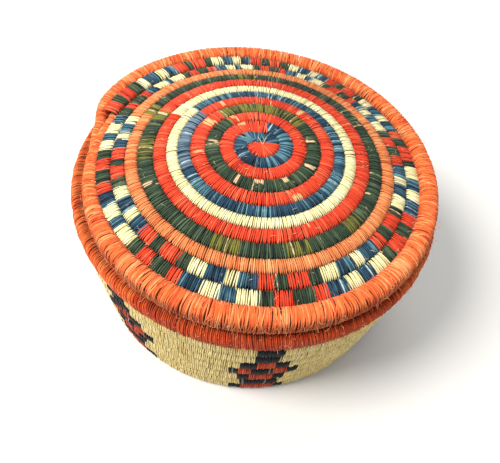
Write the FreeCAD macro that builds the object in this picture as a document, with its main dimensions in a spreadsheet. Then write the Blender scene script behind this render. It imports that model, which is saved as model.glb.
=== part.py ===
# Lidded coiled basket. A bundle of grass is bent into a coil and bound with wool, each turn
# sewn to the one before it. The basket is one coil: a flat base, a wall and a rim. The lid
# is a second coil, slightly domed, whose last and thickest turn rests on the rim.
# Millimetres, +Z up, origin on the floor under the middle of the base, front towards -Y.
# Azimuths run from the front (0) to the right (90), the back (180) and the left (270).
import FreeCAD, Part
import math
import os
from FreeCAD import Vector

SIZES = {
    # the basket's coil
    "coil_radius": 5.14,          # half the thickness of a wrapped turn
    "row_clearance": 0.9,         # between neighbouring turns, on the base and up the wall
    "wall_rows": 6,               # above the base's last turn, which shows as the lowest row
    "base_start_radius": 9.668,   # middle of the coil where it starts
    "foot_radius": 92.4,          # middle of the base's last turn
    "wall_top_radius": 98.2,      # middle of the last cream turn
    "rim_overhang": 1.5,          # the rim's turn stands out this far over that one
    "floor_cut": 0.5,             # how deep the base is flattened where it stands
    "wall_step_azimuth": 207.0,   # where each turn starts to climb to the next
    "climb_degrees": 45.0,
    "rim_end_radius": 0.6,        # the coil tapers to this where it ends on the rim
    # wool and grass
    "wrap_thickness": 0.9,        # on the basket's coil and the ring under the lid
    "bundle_clearance": 0.15,     # between the grass and the wool around it
    "lid_bundle_radius": 1.5,
    "edge_bundle_radius": 3.0,    # the lid's last turn has a thicker bundle
    "turn_clearance": 0.45,       # between the lid's neighbouring turns
    "wrap_end_clearance": 0.2,    # between two yarns on one turn
    "yarn_degrees": 45.0,         # one length of yarn binds at most this much of a turn
    "wall_yarn_degrees": 30.0,    # the same, on the wall
    # the lid's dome and its turns
    "lid_shift_right": -1.1,
    "lid_shift_front": 1.2,
    "dome_radius": 105.0,
    "dome_drop": 19.3,
    "dome_rise_over_rim": 25.0,   # from the rim's top to the top of the dome
    "seat_clearance": 0.34,       # between the lid's edge and the rim
    "edge_ease": 0.6,             # how softly the dome runs into the level edge
    "edge_half_height": 6.6,      # the last turn is an upright oval
    "lid_step_azimuth": 250.0,    # where the lid's colours change
    "block_drift_degrees": 11.0,  # how far the checker blocks drift from an even spacing
    "block_drift_azimuth": 277.0, # where they don't
    "knot_radius": 6.2,
    "turn_0_width": 7.4,
    "turn_1_width": 7.6,
    "turn_2_width": 7.4,
    "turn_3_width": 8.4,
    "turn_4_width": 6.8,
    "turn_5_width": 5.6,
    "turn_6_width": 6.8,
    "turn_7_width": 8.7,
    "turn_8_width": 6.5,
    "turn_9_width": 7.6,
    "turn_10_width": 8.0,
    "turn_11_width": 9.8,
    "turn_12_width": 9.0,
    # the ring under the lid that keeps it centred on the rim
    "ledge_coil_radius": 3.6,
    "ledge_play": 5.46,           # between the ring and the inside of the rim
    "ledge_seat_clearance": 0.3,
    # the two knots that the coils start from
    "knot_clearance": 0.4,
}
TURN_WIDTHS = ["turn_%d_width" % turn for turn in range(13)]

# Where each colour of the lid starts and ends, in turns from the step azimuth of its first
# turn. The coil starts thin beside the knot, so the first colour has two stretches.
LID_COLOURS = [
    ("lid_ring_navy_inner", -0.40, -0.05),
    ("lid_ring_navy_inner", -0.05, 0.786),
    ("lid_ring_red_inner", 0.786, 1.944),
    ("lid_ring_green_inner", 1.944, 2.944),
    ("lid_ring_red_middle", 2.944, 3.97),
    ("lid_ring_navy_outer", 3.97, 4.97),
    ("lid_ring_cream", 4.97, 6.0),
    ("lid_ring_red_outer", 6.0, 7.0),
    ("lid_ring_green_outer", 7.0, 8.01),
    ("lid_ring_tan", 8.01, 9.02),
    ("lid_edge_wrap", 11.02, 12.04),
]
LID_START = LID_COLOURS[0][1]
EDGE_START, EDGE_END = LID_COLOURS[-1][1:]
EDGE_RISE_TURNS = 0.35    # over this stretch before the edge the coil rises to its level

# The two checker rows: nine groups of eight blocks, each row one turn long.
CHECKER_GROUPS = 9
CHECKER_ROWS = [
    ("row_one", 9.02, ["cream", "navy", "cream", "navy", "red", "green", "red", "green"]),
    ("row_two", 10.02, ["navy", "cream", "navy", "cream", "green", "red", "green", "red"]),
]

# The stepped motif on the wall, from the base's last turn up. Each row lists its wraps from
# the middle outwards: the colour and the half width in degrees at which it ends.
MOTIF_ROWS = [
    [("red", 5.5), ("black", 9.7)],
    [("black", 6.1)],
    [("red", 3.6), ("black", 8.0)],
    [("black", 3.6), ("red", 7.4), ("black", 11.0)],
    [("red", 2.8), ("black", 7.8)],
    [("black", 3.9)],
    [("black", 3.9)],
]
WALL_START = -1.0       # the wall's colours start with the base's last turn
MOTIF_COUNT = 7
MOTIF_FIRST_AZIMUTH = 10.6
MOTIF_STEP_AZIMUTH = 52.0
SHORTEST_WRAP_SHARE = 0.25    # of the coil's radius: less cream than this isn't wound

SPAN_TURNS = 0.25       # one pair of tangent arcs spans at most a quarter turn
SLOPE_TURNS = 0.0005    # half the step over which a coil's direction is measured
GAP_STEP_TURNS = 1 / 180
WHOLE_SHARE = 0.001     # of a yarn's length: a remainder under this takes no yarn of its own
RIM_TAPER_SHARES = [0.0, 0.2, 0.4, 0.6, 0.75]    # of the last climb, which the coil's end fills

doc = FreeCAD.newDocument("coiled_basket")
sheet = doc.addObject("Spreadsheet::Sheet", "Sizes")
for row, (alias, value) in enumerate(SIZES.items(), start=1):
    sheet.set("A%d" % row, alias)
    sheet.set("B%d" % row, str(value))
    sheet.setAlias("B%d" % row, alias)
doc.recompute()


def size(alias):
    return float(sheet.get(alias))


# Places that several pieces share.
coil_radius = size("coil_radius")
row_rise = 2 * coil_radius + size("row_clearance")
rim_radius = size("wall_top_radius") + size("rim_overhang")
wall_rows = int(size("wall_rows"))
base_turns = (size("foot_radius") - size("base_start_radius")) / row_rise
base_height = coil_radius - size("floor_cut")
rim_height = base_height + row_rise * (wall_rows + 1)
rim_top = rim_height + coil_radius
seat_height = rim_top + size("seat_clearance")
dome_top = rim_top + size("dome_rise_over_rim")
bundle_clearance = size("bundle_clearance")


def on_circle(radius, azimuth, height):
    angle = math.radians(azimuth)
    return Vector(radius * math.sin(angle), -radius * math.cos(angle), height)


def eased(share):
    share = min(max(share, 0.0), 1.0)
    return share * share * (3 - 2 * share)


def stations(start, end):
    first = math.floor(start / SPAN_TURNS) + 1
    last = math.ceil(end / SPAN_TURNS)
    return [start] + [number * SPAN_TURNS for number in range(first, last)] + [end]


# The basket's coil, by turns: 0 where the wall's first climb starts, less than 0 on the base.
# The base starts as an even spiral. Turn by turn it changes to level rings, each with a step
# outwards. The steps follow where the wall climbs, so the first climb runs beside the base.
def turns_outwards(turn):
    whole = math.floor(turn)
    even = turn - whole
    stepped = eased(even * 360 / size("climb_degrees") - 1)
    stepped_share = min(max(1 + (turn + 1) / (base_turns - 1), 0.0), 1.0)
    return whole + even + (stepped - even) * stepped_share


def climbed_rows(turn):
    if turn <= 0:
        return 0.0
    whole = min(math.floor(turn), wall_rows)
    return whole + eased((turn - whole) * 360 / size("climb_degrees"))


def basket_point(turn):
    rows = climbed_rows(turn)
    foot = size("foot_radius")
    if turn <= 0:
        radius = foot + row_rise * turns_outwards(turn)
    elif rows <= wall_rows:
        radius = foot + (size("wall_top_radius") - foot) * rows / wall_rows
    else:
        top = size("wall_top_radius")
        radius = top + (rim_radius - top) * (rows - wall_rows)
    azimuth = size("wall_step_azimuth") - 360 * turn
    return on_circle(radius, azimuth, base_height + row_rise * rows)


def basket_half_width(turn):
    return coil_radius


def basket_stations(start, end):
    """The turns where arcs meet: at both ends of each step and climb, and every quarter turn."""
    climb = size("climb_degrees") / 360
    rows = range(math.ceil(start), wall_rows + 1)
    stops = [row + share for row in rows for share in (0.0, climb, 2 * climb)]
    stops = [start] + [stop for stop in stops if stop < end] + [end]
    return [turn for low, high in zip(stops, stops[1:]) for turn in stations(low, high)[:-1]] + [end]


# The lid's coil, by turns from its step azimuth.
def seam_radius(turn):
    radius = size("knot_radius")
    for number, alias in enumerate(TURN_WIDTHS):
        radius += size(alias) * min(max(turn - number, 0.0), 1.0)
    return radius


def lid_half_width(turn):
    return (seam_radius(turn + 1) - seam_radius(turn) - size("turn_clearance")) / 2


def least_half_width(start, end):
    return min(lid_half_width(turn) for turn in stations(start, end))


def dome_height(radius):
    return dome_top - size("dome_drop") * (radius / size("dome_radius")) ** 2


def larger_eased(first, second, ease):
    return (first + second) / 2 + math.sqrt(((first - second) / 2) ** 2 + ease ** 2)


def lid_point(turn):
    radius = (seam_radius(turn) + seam_radius(turn + 1)) / 2
    half_width = lid_half_width(turn)
    rise = eased((turn - EDGE_START) / EDGE_RISE_TURNS + 1)
    on_dome = dome_height(radius) - half_width
    on_seat = seat_height + half_width + (size("edge_half_height") - half_width) * rise
    height = larger_eased(on_dome, on_seat, size("edge_ease"))
    point = on_circle(radius, size("lid_step_azimuth") + 360 * turn, height)
    return point + Vector(size("lid_shift_right"), -size("lid_shift_front"), 0)


# The ring under the lid is one level turn, whose ends almost meet.
ledge_coil_radius = size("ledge_coil_radius")
ledge_radius = rim_radius - coil_radius - size("ledge_play") - ledge_coil_radius
ledge_end_turn = 1 - size("turn_clearance") * 2 / (2 * math.pi * ledge_radius)


def ledge_seats():
    """How high the ring can lie under each place of the lid's coil that it passes."""
    for number in range(int(EDGE_END / GAP_STEP_TURNS)):
        turn = number * GAP_STEP_TURNS
        across = (seam_radius(turn) + seam_radius(turn + 1)) / 2 - ledge_radius
        reach = lid_half_width(turn) + size("ledge_seat_clearance") + ledge_coil_radius
        if abs(across) < reach:
            yield lid_point(turn).z - math.sqrt(reach ** 2 - across ** 2)


ledge_height = min(ledge_seats())


def ledge_point(turn):
    point = on_circle(ledge_radius, size("lid_step_azimuth") + 360 * turn, ledge_height)
    return point + Vector(size("lid_shift_right"), -size("lid_shift_front"), 0)


# A coil's path is a row of tangent arcs, and its solids are sections swept along stretches of it.
def direction(point, turn):
    step = point(turn + SLOPE_TURNS) - point(turn - SLOPE_TURNS)
    return step.normalize()


def arc_through(start, heading, end):
    chord = end - start
    side = heading.cross(chord).cross(heading)
    side.normalize()
    radius = chord.dot(chord) / (2 * chord.dot(side))
    centre = start + side * radius
    middle = (start + end) * 0.5 - centre
    middle.normalize()
    return Part.Arc(start, centre + middle * radius, end).toShape()


def arc_pair(start, start_heading, end, end_heading):
    chord = end - start
    both = start_heading + end_heading
    squared = 2 * (1 - start_heading.dot(end_heading))
    linear = 2 * chord.dot(both)
    reach = (-linear + math.sqrt(linear ** 2 + 4 * squared * chord.dot(chord))) / (2 * squared)
    joint = (start + start_heading * reach + end - end_heading * reach) * 0.5
    first = arc_through(start, start_heading, joint)
    last = arc_through(end, end_heading * -1, joint)
    turned = Part.Arc(joint, last.valueAt((last.FirstParameter + last.LastParameter) / 2), end)
    return [first, turned.toShape()]


class Coil:
    """A coil's tangent arcs, each with the turns where it starts and ends."""

    def __init__(self, point, turns):
        self.arcs = []
        for here, there in zip(turns, turns[1:]):
            pair = arc_pair(point(here), direction(point, here), point(there), direction(point, there))
            middle = here + (there - here) * pair[0].Length / (pair[0].Length + pair[1].Length)
            self.arcs.append((here, middle, pair[0]))
            self.arcs.append((middle, there, pair[1]))

    def stretch(self, start, end):
        """The arcs between two turns."""
        edges = []
        for first, last, arc in self.arcs:
            low, high = max(start, first), min(end, last)
            if low < high:
                span = (arc.LastParameter - arc.FirstParameter) / (last - first)
                low_parameter = arc.FirstParameter + span * (low - first)
                high_parameter = arc.FirstParameter + span * (high - first)
                edges.append(arc.Curve.toShape(low_parameter, high_parameter))
        return edges

    def point(self, turn):
        first, last, arc = next(arc for arc in self.arcs if turn <= arc[1])
        share = (turn - first) / (last - first)
        return arc.valueAt(arc.FirstParameter + share * (arc.LastParameter - arc.FirstParameter))

    def trimmed(self, start, end):
        """A stretch of coil without the clearance at its ends."""
        place = self.point(start)
        trim = size("wrap_end_clearance") / 2 / (2 * math.pi * math.hypot(place.x, place.y))
        return self.stretch(start + trim, end - trim)


def section(edge, radius):
    start = edge.FirstParameter
    return Part.Wire([Part.Circle(edge.valueAt(start), edge.tangentAt(start), radius).toShape()])


def oval_section(edge, half_width, half_height):
    middle = edge.valueAt(edge.FirstParameter)
    heading = edge.tangentAt(edge.FirstParameter)
    across = heading.cross(Vector(0, 0, 1)).normalize()
    upright = across.cross(heading)
    oval = Part.Ellipse(middle + upright * half_height, middle + across * half_width, middle)
    return Part.Wire([oval.toShape()])


def bundle(coil, radius, start, end):
    """One unbroken bundle of grass along a coil."""
    edges = coil.stretch(start, end)
    return Part.Wire(edges).makePipeShell([section(edges[0], radius)], True, False)


def sleeve(edges, outline, bore_radius):
    """Wool around a stretch of coil, with the grass's bore through it."""
    ring = Part.Face(outline).cut(Part.Face(section(edges[0], bore_radius)))
    return Part.Wire(edges).makePipe(ring.Faces[0])


def wrap(coil, radius, bore_radius, start, end):
    edges = coil.trimmed(start, end)
    return sleeve(edges, section(edges[0], radius), bore_radius)


def yarns(start, end, most="yarn_degrees"):
    """A stretch of one colour, shared out evenly over the lengths of yarn that bind it."""
    count = math.ceil((end - start) * 360 / size(most) - WHOLE_SHARE)
    stops = [start + (end - start) * number / count for number in range(count + 1)]
    return list(zip(stops, stops[1:]))


def least_gap(coil, half_width, start, end):
    """The least distance between a coil's own turns, measured on points along it."""
    count = int((end - start) / GAP_STEP_TURNS)
    turns = [start + number * GAP_STEP_TURNS for number in range(count + 1)]
    points = [coil.point(turn) for turn in turns]
    widths = [half_width(turn) for turn in turns]
    apart = int(0.5 / GAP_STEP_TURNS)
    least = None
    for number, here in enumerate(points):
        for other in range(number + apart, min(number + 3 * apart, len(points))):
            gap = (here - points[other]).Length - widths[number] - widths[other]
            least = gap if least is None else min(least, gap)
    return least


made = []


def add_helper(name, shape):
    feature = doc.addObject("Part::Feature", name)
    feature.Shape = shape
    feature.Placement = FreeCAD.Placement()
    return feature


def add(name, shape):
    made.append(add_helper(name, shape))


def bound(feature, **expressions):
    for name, expression in expressions.items():
        feature.setExpression(name, expression)
    return feature


# The three coils and their grass bundles.
basket_start, basket_end = -base_turns, float(wall_rows + 1)
last_climb = size("climb_degrees") / 360
basket_coil = Coil(basket_point, basket_stations(basket_start, basket_end + last_climb))
lid_coil = Coil(lid_point, stations(LID_START, EDGE_END))
ledge_coil = Coil(ledge_point, stations(0.0, ledge_end_turn))
basket_bore = coil_radius - size("wrap_thickness")
ledge_bore = ledge_coil_radius - size("wrap_thickness")
lid_bore = size("lid_bundle_radius") + bundle_clearance
edge_bore = size("edge_bundle_radius") + bundle_clearance
add("basket_foundation", bundle(basket_coil, basket_bore - bundle_clearance, basket_start, basket_end))
add("lid_foundation", bundle(lid_coil, size("lid_bundle_radius"), LID_START, EDGE_START))
add("edge_foundation", bundle(lid_coil, size("edge_bundle_radius"), EDGE_START, EDGE_END))
add("ledge_foundation", bundle(ledge_coil, ledge_bore - bundle_clearance, 0.0, ledge_end_turn))

# The base, flattened where it stands on the floor.
base_wrap = doc.addObject("Part::Cut", "base_wrap")
base_sleeve = wrap(basket_coil, coil_radius, basket_bore, basket_start, WALL_START)
base_wrap.Base = add_helper("base_sleeve", base_sleeve)
base_wrap.Tool = bound(doc.addObject("Part::Box", "below_floor"), Length="4 * Sizes.foot_radius",
                       Width="4 * Sizes.foot_radius", Height="2 * Sizes.foot_radius")
base_wrap.Tool.Placement.Base = Vector(-1, -1, -1) * (2 * size("foot_radius"))
made.append(base_wrap)
doc.recompute()


# The wall: cream between the motifs, which keep to their rows one above the other. Its lowest
# row is flattened like the base.
def turn_at(azimuth, row):
    """The turn of the coil that passes an azimuth on a row, counted from the wall's start."""
    behind = (size("wall_step_azimuth") - azimuth) % 360
    return WALL_START + row + behind / 360


def motif_stretches(row, azimuth):
    """The wraps of one motif on one row: colour, first turn and last turn."""
    inner = 0.0
    stretches = []
    for colour, outer in MOTIF_ROWS[row]:
        if inner == 0.0:
            stretches.append((colour, turn_at(azimuth + outer, row), turn_at(azimuth - outer, row)))
        else:
            stretches.append((colour, turn_at(azimuth + outer, row), turn_at(azimuth + inner, row)))
            stretches.append((colour, turn_at(azimuth - inner, row), turn_at(azimuth - outer, row)))
        inner = outer
    return stretches


motif_azimuths = [MOTIF_FIRST_AZIMUTH + MOTIF_STEP_AZIMUTH * number for number in range(MOTIF_COUNT)]
wall_stretches = {"black": [], "red": []}
for row in range(len(MOTIF_ROWS)):
    for azimuth in motif_azimuths:
        for colour, first, last in motif_stretches(row, azimuth):
            wall_stretches[colour].append((first, last))
taken = sorted(wall_stretches["black"] + wall_stretches["red"])
cream_starts = [WALL_START] + [last for first, last in taken]
cream_ends = [first for first, last in taken] + [float(wall_rows)]
shortest = coil_radius * SHORTEST_WRAP_SHARE / (2 * math.pi * rim_radius)
wall_stretches["cream"] = [(a, b) for a, b in zip(cream_starts, cream_ends) if b - a > shortest]
wall_nodes = {"cream": "wall_cream_wrap", "black": "motif_black_wraps", "red": "motif_red_wraps"}
for colour, name in wall_nodes.items():
    lengths = [yarn for stretch in wall_stretches[colour] for yarn in yarns(*stretch, "wall_yarn_degrees")]
    parts = []
    for first, last in lengths:
        part = wrap(basket_coil, coil_radius, basket_bore, first, last)
        parts.append(part.cut(base_wrap.Tool.Shape) if first < last_climb else part)
    add(name, Part.makeCompound(parts))


# The rim, whose end tapers into the space over its own climb.
def rim_end():
    circles = []
    for share in RIM_TAPER_SHARES:
        radius = max(size("rim_end_radius"), coil_radius * (1 - eased(share)))
        edge = basket_coil.stretch(basket_end + last_climb * share, basket_end + last_climb)[0]
        circle = section(edge, radius)
        circle.translate(Vector(0, 0, coil_radius - radius))
        circles.append(circle)
    return Part.makeLoft(circles, True, True)


rim_lengths = yarns(float(wall_rows), basket_end)
rim_parts = [wrap(basket_coil, coil_radius, basket_bore, first, last) for first, last in rim_lengths]
add("rim_wrap", Part.makeCompound(rim_parts + [rim_end()]))

# The lid's plain rings and its edge.
rings = {}
for name, start, end in LID_COLOURS[:-1]:
    for first, last in yarns(start, end):
        length = wrap(lid_coil, least_half_width(first, last), lid_bore, first, last)
        rings.setdefault(name, []).append(length)
for name, parts in rings.items():
    add(name, Part.makeCompound(parts))
edge_half_width = least_half_width(EDGE_START, EDGE_END)
edge_parts = []
for first, last in yarns(EDGE_START, EDGE_END):
    arcs = lid_coil.trimmed(first, last)
    outline = oval_section(arcs[0], edge_half_width, size("edge_half_height"))
    edge_parts.append(sleeve(arcs, outline, edge_bore))
add(LID_COLOURS[-1][0], Part.makeCompound(edge_parts))

# The lid's checker rows. Their blocks grow wider and narrower once round the lid.
def block_drift(even_turn):
    azimuth = size("lid_step_azimuth") + 360 * even_turn
    away = math.radians(azimuth - size("block_drift_azimuth"))
    return size("block_drift_degrees") / 360 * (1 - math.cos(away))


for row_name, row_start, colours in CHECKER_ROWS:
    blocks = CHECKER_GROUPS * len(colours)
    even_turns = [row_start + number / blocks for number in range(blocks + 1)]
    borders = [turn + block_drift(turn) - block_drift(row_start) for turn in even_turns]
    for colour in sorted(set(colours)):
        parts = []
        for number in range(blocks):
            if colours[number % len(colours)] == colour:
                start, end = borders[number:number + 2]
                parts.append(wrap(lid_coil, least_half_width(start, end), lid_bore, start, end))
        add("%s_%s" % (row_name, colour), Part.makeCompound(parts))

ledge_lengths = yarns(0.0, ledge_end_turn)
ledge_parts = [wrap(ledge_coil, ledge_coil_radius, ledge_bore, *length) for length in ledge_lengths]
add("ledge_wrap", Part.makeCompound(ledge_parts))


# The two knots. Each fills its coil's first turn, whose inner side it follows, and has a step
# where the coil starts. The base coil's end is square to the coil, so the step leans with it.
def knot_profile(name, stretches):
    edges = []
    corners = []
    for place, start, end in stretches:
        stops = stations(start, end)
        for low, high in zip(stops, stops[1:]):
            edges.append(Part.Arc(place(low), place((low + high) / 2), place(high)).toShape())
        corners.append((place(start), place(end)))
    for (_, end), (start, _) in zip(corners, corners[1:] + corners[:1]):
        if (end - start).Length > size("knot_clearance"):
            edges.append(Part.LineSegment(end, start).toShape())
    return add_helper(name, Part.Face(Part.Wire(Part.sortEdges(edges)[0])))


def beside_navy(turn):
    azimuth = size("lid_step_azimuth") + 360 * turn
    point = on_circle(seam_radius(turn) - size("knot_clearance"), azimuth, dome_top - size("turn_0_width"))
    return point + Vector(size("lid_shift_right"), -size("lid_shift_front"), 0)


def beside_navy_start(turn):
    return beside_navy(turn - 1)


def beside_base_coil(turn):
    middle = basket_point(turn)
    radius = math.hypot(middle.x, middle.y)
    share = (radius - coil_radius - size("knot_clearance")) / radius
    return Vector(middle.x * share, middle.y * share, 0)


def knot(name, profile, height):
    feature = doc.addObject("Part::Extrusion", name + "_solid")
    feature.Base = profile
    feature.DirMode = "Custom"
    feature.Dir = Vector(0, 0, 1)
    feature.Label = name
    made.append(bound(feature, LengthFwd=height))


lid_step = 1 + LID_START
lid_step_gap = size("knot_clearance") / (2 * math.pi * size("knot_radius"))
lid_stretches = [(beside_navy, 0.0, lid_step - lid_step_gap), (beside_navy_start, lid_step, 1.0)]
knot("lid_knot_red", knot_profile("lid_knot_profile", lid_stretches), "Sizes.turn_0_width")
base_start_radius = size("base_start_radius")
base_step_lean = coil_radius * row_rise / (2 * math.pi * base_start_radius)
base_step_length = 2 * math.pi * (base_start_radius + coil_radius)
base_step_turns = (base_step_lean + size("knot_clearance")) / base_step_length
base_stretches = [(beside_base_coil, basket_start, basket_start + 1 - base_step_turns)]
base_profile = knot_profile("base_knot_profile", base_stretches)
knot("base_knot", base_profile, "2 * Sizes.coil_radius - Sizes.floor_cut")

doc.recompute()
for feature in doc.Objects:
    assert "Invalid" not in feature.State and "Error" not in feature.State, feature.Label
for feature in made:
    assert not feature.Shape.isNull() and feature.Shape.isValid(), feature.Label

coils = [
    ("basket coil", basket_coil, basket_half_width, basket_start, basket_end),
    ("lid coil", lid_coil, lid_half_width, LID_START, EDGE_END),
]
for name, coil, half_width, start, end in coils:
    gap = least_gap(coil, half_width, start, end)
    print(name, "turns %.2f" % (end - start), "least gap to itself %.2f mm" % gap)

os.makedirs("parts", exist_ok=True)
for feature in made:
    feature.Shape.exportStep("parts/%s.step" % feature.Label)
    print(feature.Label, "solids", len(feature.Shape.Solids), "volume %.0f mm3" % feature.Shape.Volume)
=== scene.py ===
import math
import bmesh
import bpy
from mathutils import Matrix, Vector


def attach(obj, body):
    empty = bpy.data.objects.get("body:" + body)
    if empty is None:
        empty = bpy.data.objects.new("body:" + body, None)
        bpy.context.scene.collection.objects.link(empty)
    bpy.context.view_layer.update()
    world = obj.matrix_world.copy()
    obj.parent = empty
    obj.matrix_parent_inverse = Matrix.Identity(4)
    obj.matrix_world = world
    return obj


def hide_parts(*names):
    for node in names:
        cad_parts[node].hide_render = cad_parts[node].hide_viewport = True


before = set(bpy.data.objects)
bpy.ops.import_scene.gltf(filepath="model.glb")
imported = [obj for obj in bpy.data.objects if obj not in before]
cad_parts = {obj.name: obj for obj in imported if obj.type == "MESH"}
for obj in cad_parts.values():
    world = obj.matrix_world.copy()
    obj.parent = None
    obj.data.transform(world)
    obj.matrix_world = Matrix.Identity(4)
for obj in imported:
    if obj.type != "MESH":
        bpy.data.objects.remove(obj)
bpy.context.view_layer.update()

# The grass of the basket. One bundle of dry stems is bent into a coil: a flat base, six wall
# turns and the rim's turn. It shows only where a stitch leaves a gap.
FOOT_RADIUS = 0.0924
WALL_TOP_RADIUS = 0.0982
RIM_OVERHANG = 0.0015
COIL_RADIUS = 0.00514
ROW_CLEARANCE = 0.0009
BASE_TURNS = 7.4
WALL_ROWS = 6
FLOOR_CUT = 0.0005
WALL_STEP_AZIMUTH = 207.0
CLIMB_TURNS = 45 / 360
BASKET_GRASS_RADIUS = 0.0040
STEM_DEPTH = 0.09
PATH_STEP = 0.0007
ROW_RISE = 2 * COIL_RADIUS + ROW_CLEARANCE
base_height = COIL_RADIUS - FLOOR_CUT
rim_top = base_height + ROW_RISE * (WALL_ROWS + 1) + COIL_RADIUS


def eased(share):
    share = min(max(share, 0.0), 1.0)
    return share * share * (3 - 2 * share)


def on_circle(radius, azimuth, height):
    """Azimuths run from the front, 0, to the right, 90, the back, 180, and the left, 270."""
    angle = math.radians(azimuth)
    return Vector((radius * math.sin(angle), -radius * math.cos(angle), height))


def basket_azimuth(turn):
    return WALL_STEP_AZIMUTH - 360 * turn


def turns_outwards(turn):
    """On the base: an even spiral in the middle, and outside it level turns that step outwards."""
    even = turn - math.floor(turn)
    stepped = eased(even / CLIMB_TURNS - 1)
    stepped_share = min(max(1 + (turn + 1) / (BASE_TURNS - 1), 0.0), 1.0)
    return math.floor(turn) + even + (stepped - even) * stepped_share


def basket_point(turn):
    whole = min(math.floor(turn), WALL_ROWS)
    rows = whole + eased((turn - whole) / CLIMB_TURNS) if turn > 0 else 0.0
    if turn <= 0:
        radius = FOOT_RADIUS + ROW_RISE * turns_outwards(turn)
    elif rows <= WALL_ROWS:
        radius = FOOT_RADIUS + (WALL_TOP_RADIUS - FOOT_RADIUS) * rows / WALL_ROWS
    else:
        radius = WALL_TOP_RADIUS + RIM_OVERHANG * (rows - WALL_ROWS)
    return on_circle(radius, basket_azimuth(turn), base_height + ROW_RISE * rows)


def path_mesh(name, point, stretches, measures):
    """Polylines along a coil. measures(turn) gives the values that the stitches read there."""
    places, edges, values = [], [], []
    for start, end in stretches:
        stops = [point(start + (end - start) * number / 64) for number in range(65)]
        length = sum((after - before).length for before, after in zip(stops, stops[1:]))
        count = max(3, math.ceil(length / PATH_STEP))
        first = len(places)
        for number in range(count + 1):
            turn = start + (end - start) * number / count
            places.append(point(turn))
            values.append(measures(turn))
        edges += [(first + n, first + n + 1) for n in range(count)]
    mesh = bpy.data.meshes.new(name)
    mesh.from_pydata(places, edges, [])
    for key in ("half_width", "half_height", "patch", "fleck"):
        layer = mesh.attributes.new(key, "FLOAT", "POINT")
        layer.data.foreach_set("value", [value.get(key, 0.0) for value in values])
    layer = mesh.attributes.new("outward", "FLOAT_VECTOR", "POINT")
    layer.data.foreach_set("vector", [part for value in values for part in value["outward"]])
    return mesh


def new_tree(name, inputs):
    """An empty Geometry Nodes tree: inputs maps each name to its socket type and default."""
    tree = bpy.data.node_groups.new(name, "GeometryNodeTree")
    tree.interface.new_socket("Geometry", in_out="INPUT", socket_type="NodeSocketGeometry")
    for key, (kind, default) in inputs.items():
        socket = tree.interface.new_socket(key, in_out="INPUT", socket_type=kind)
        if default is not None:
            socket.default_value = default
    tree.interface.new_socket("Geometry", in_out="OUTPUT", socket_type="NodeSocketGeometry")
    return tree


def add_node(tree, kind, settings=None, **links):
    """A node with its settings, and a value or another node's socket for each named input."""
    node = tree.nodes.new(kind)
    for key, value in (settings or {}).items():
        setattr(node, key, value)
    for key, value in links.items():
        name = key.replace("_", " ")
        socket = next(s for s in node.inputs if s.name == name and s.enabled)
        if isinstance(value, bpy.types.NodeSocket):
            tree.links.new(value, socket)
        else:
            socket.default_value = value
    return node


def result(node, name=None):
    return next(s for s in node.outputs if s.enabled and (name is None or s.name == name))


def math_node(tree, operation, first, second=0.0, third=0.0):
    node = tree.nodes.new("ShaderNodeMath")
    node.operation = operation
    for socket, value in zip(node.inputs, (first, second, third)):
        if isinstance(value, bpy.types.NodeSocket):
            tree.links.new(value, socket)
        else:
            socket.default_value = value
    return node.outputs[0]


def made_mesh(name, source, tree, values):
    """Runs a tree on a mesh and keeps what comes out as a plain mesh object."""
    draft = bpy.data.objects.new(name + "_draft", source)
    bpy.context.scene.collection.objects.link(draft)
    modifier = draft.modifiers.new("nodes", "NODES")
    modifier.node_group = tree
    for item in tree.interface.items_tree:
        if item.in_out == "INPUT" and item.name in values:
            modifier[item.identifier] = values[item.name]
    graph = bpy.context.evaluated_depsgraph_get()
    mesh = bpy.data.meshes.new_from_object(draft.evaluated_get(graph), preserve_all_data_layers=True,
                                           depsgraph=graph)
    draft.modifiers.clear()
    bpy.data.objects.remove(draft)
    mesh.name = name
    piece = bpy.data.objects.new(name, mesh)
    bpy.context.scene.collection.objects.link(piece)
    return piece


def grass_tree():
    """Sweeps a bundle of stems, seen as lobes, along a path."""
    tree = new_tree("grass bundle", {
        "Bundle Radius": ("NodeSocketFloat", 0.003),
        "Stems": ("NodeSocketInt", 9),
        "Sample Length": ("NodeSocketFloat", 0.004),
        "Material": ("NodeSocketMaterial", None),
    })
    entry = tree.nodes.new("NodeGroupInput")
    curve = add_node(tree, "GeometryNodeMeshToCurve", Mesh=result(entry, "Geometry"))
    even = add_node(tree, "GeometryNodeResampleCurve", {"mode": "LENGTH"},
                    Curve=result(curve), Length=result(entry, "Sample Length"))
    sides = math_node(tree, "MULTIPLY", result(entry, "Stems"), 3.0)
    ring = add_node(tree, "GeometryNodeCurvePrimitiveCircle", Resolution=sides,
                    Radius=result(entry, "Bundle Radius"))
    factor = add_node(tree, "GeometryNodeSplineParameter")
    phase = math_node(tree, "MULTIPLY", math_node(tree, "MULTIPLY", result(factor, "Factor"), math.tau),
                      result(entry, "Stems"))
    lobe = math_node(tree, "MULTIPLY_ADD", math_node(tree, "COSINE", phase), STEM_DEPTH, 1 - STEM_DEPTH)
    place = add_node(tree, "GeometryNodeInputPosition")
    lobed = tree.nodes.new("ShaderNodeVectorMath")
    lobed.operation = "SCALE"
    tree.links.new(result(place), lobed.inputs[0])
    tree.links.new(lobe, lobed.inputs["Scale"])
    profile = add_node(tree, "GeometryNodeSetPosition", Geometry=result(ring), Position=lobed.outputs[0])
    solid = add_node(tree, "GeometryNodeCurveToMesh", Curve=result(even), Profile_Curve=result(profile),
                     Fill_Caps=True)
    real = add_node(tree, "GeometryNodeRealizeInstances", Geometry=result(solid))
    painted = add_node(tree, "GeometryNodeSetMaterial", Geometry=result(real), Material=result(entry, "Material"))
    leave = tree.nodes.new("NodeGroupOutput")
    tree.links.new(result(painted), leave.inputs["Geometry"])
    return tree


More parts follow.
